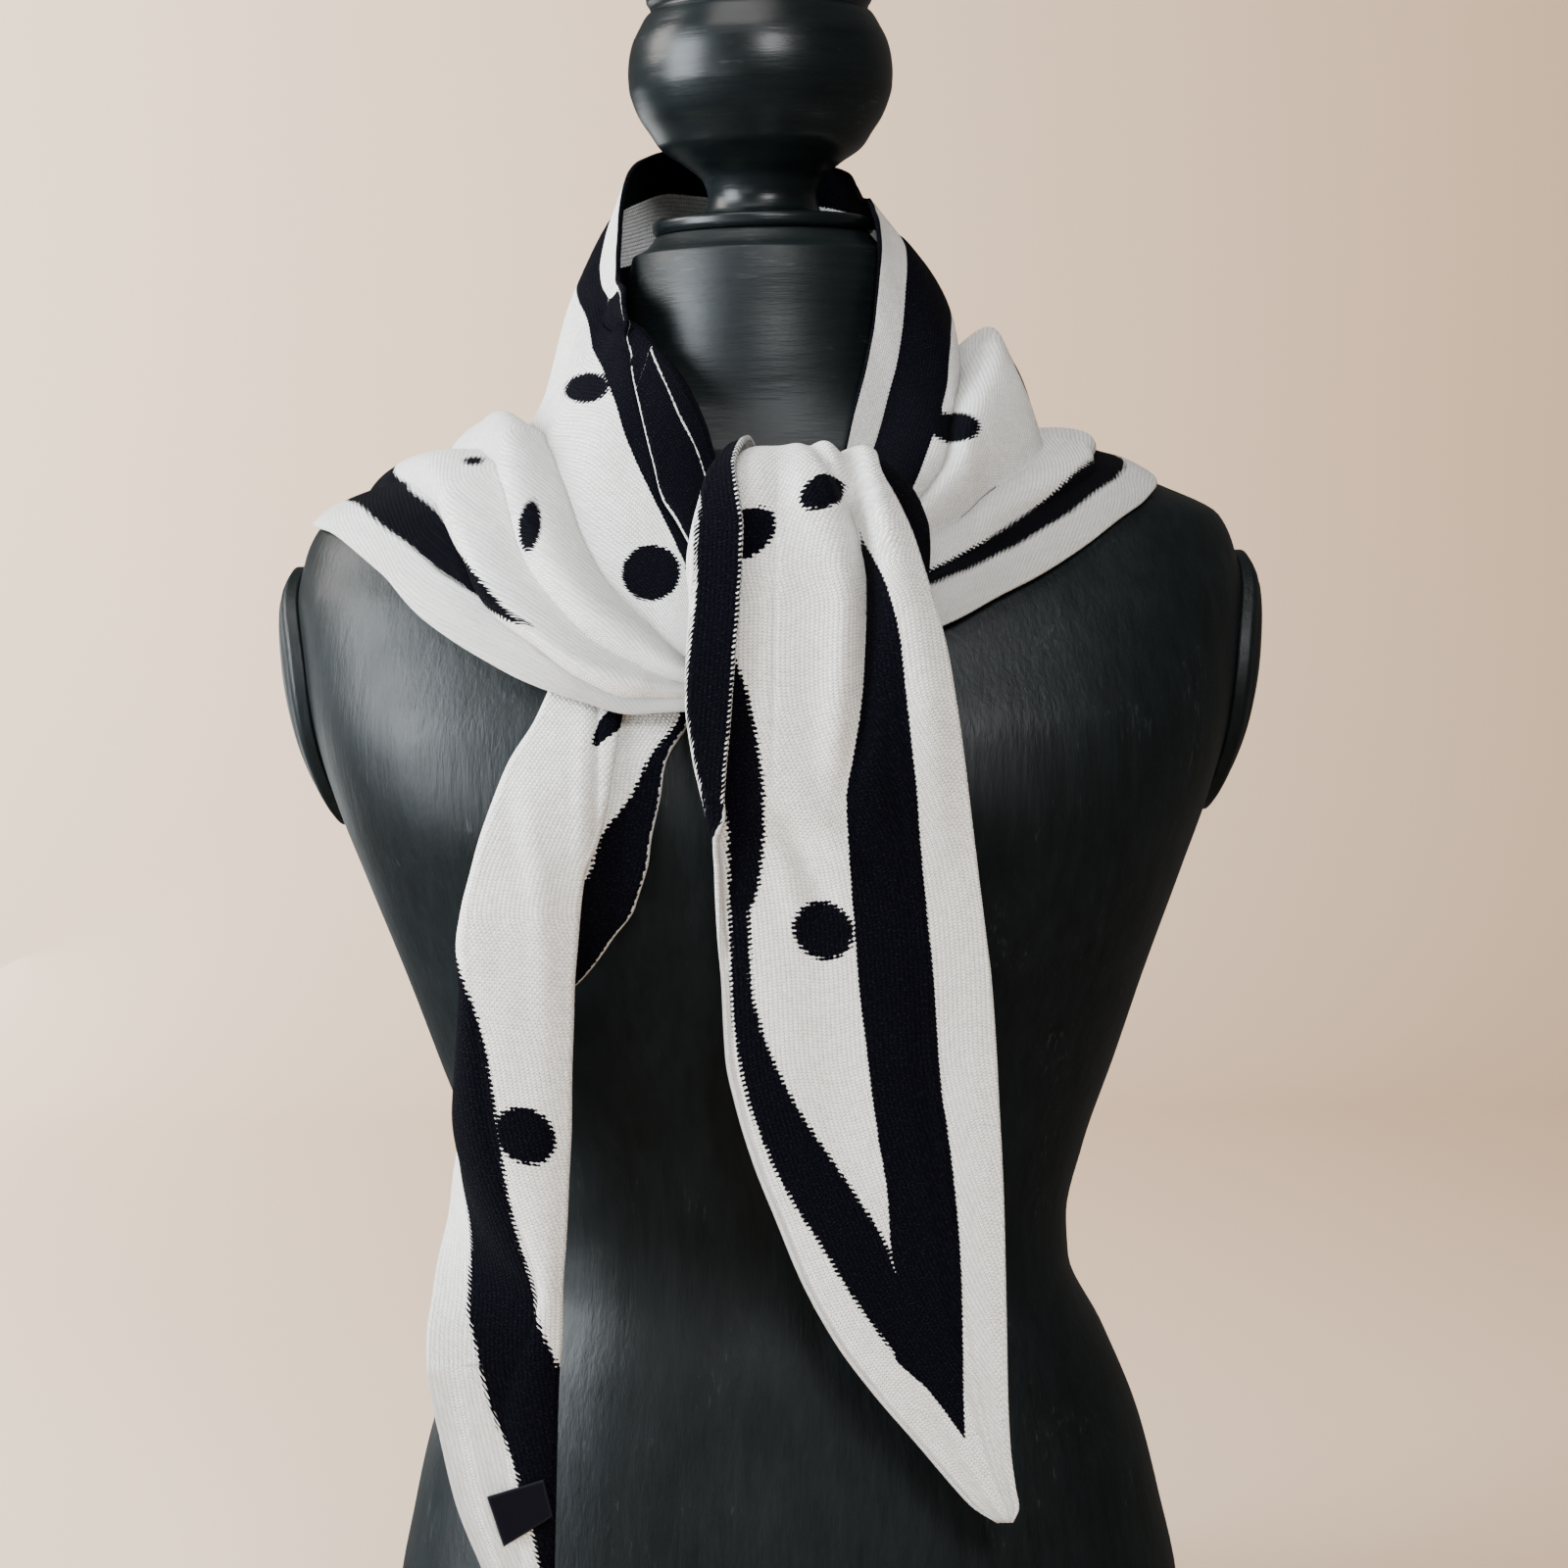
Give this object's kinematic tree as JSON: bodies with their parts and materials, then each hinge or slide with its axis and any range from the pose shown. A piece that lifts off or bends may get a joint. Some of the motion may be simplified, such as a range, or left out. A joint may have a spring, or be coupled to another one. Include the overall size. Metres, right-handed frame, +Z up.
{
  "type": "knitted scarf on a limbless dress form",
  "caption": "Triangular knitted scarf with a striped border and dots, tied in front with two hanging tails, on a painted limbless dress form with a turned finial.",
  "frame": {"origin": "centre of the form's flat base, on the floor", "axes": "+Z up along the form's axis, -Y towards the chest and the tie, +X to the right of the picture"},
  "size_m": [0.4128, 0.2702, 0.776],
  "materials": {
    "knit_fabric": "matt double-faced knit, cream with a black pattern",
    "knit_fabric_dark": "matt double-faced knit, black side out",
    "label_weave": "smooth woven label, left bare",
    "form_paint": "brushed gloss paint, dark green-grey"
  },
  "bodies": {
    "root": {"scarf_shawl": "knit_fabric", "scarf_front_tail": "knit_fabric", "scarf_left_tail": "knit_fabric", "scarf_knot_loop": "knit_fabric_dark", "care_label": "label_weave", "form_torso": "form_paint", "form_finial": "form_paint", "form_arm_plate_left": "form_paint", "form_arm_plate_right": "form_paint"}
  },
  "joints": []
}
